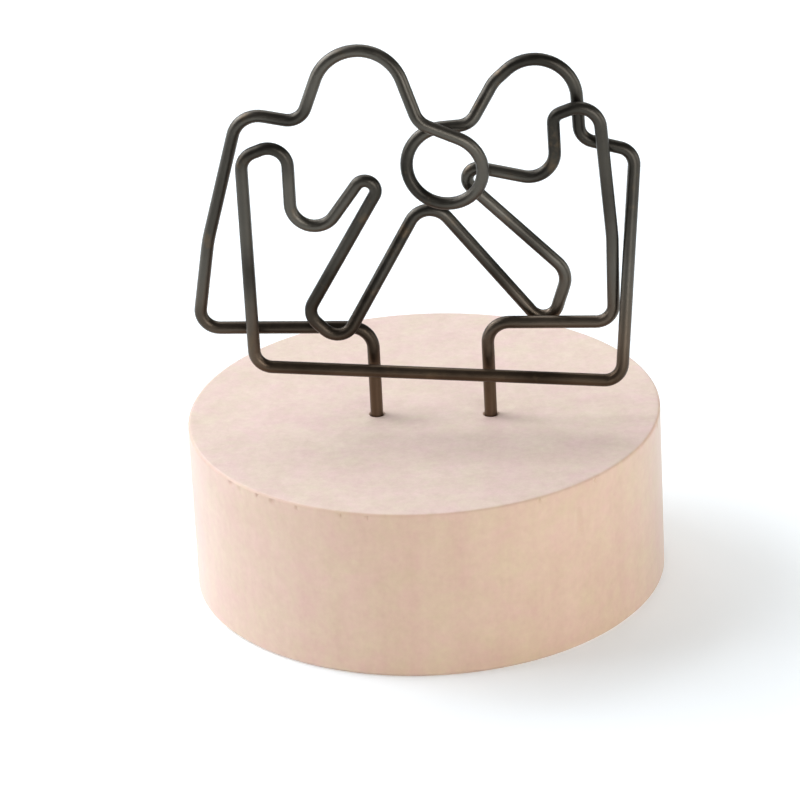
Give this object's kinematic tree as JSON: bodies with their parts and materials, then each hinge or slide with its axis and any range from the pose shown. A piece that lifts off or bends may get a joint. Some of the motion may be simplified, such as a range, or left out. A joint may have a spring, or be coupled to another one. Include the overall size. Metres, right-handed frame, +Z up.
{
  "type": "photo holder",
  "caption": "Desktop photo and card holder: a round wooden base with a bent wire clip shaped like a gift box with a bow, which grips a card between its front and back turns.",
  "frame": {"origin": "under the middle of the round base, on the surface it stands on", "axes": "+X to the right along the line of the two legs, -Y towards the viewer at the front, +Z up"},
  "size_m": [0.06, 0.06, 0.0725],
  "materials": {
    "base_wood": "bare beech, turned and finely sanded, unvarnished",
    "clip_wire": "iron wire with a thin dark bronze-black plating, satin"
  },
  "bodies": {
    "root": {"wooden_base": "base_wood", "wire_clip": "clip_wire"}
  },
  "joints": []
}
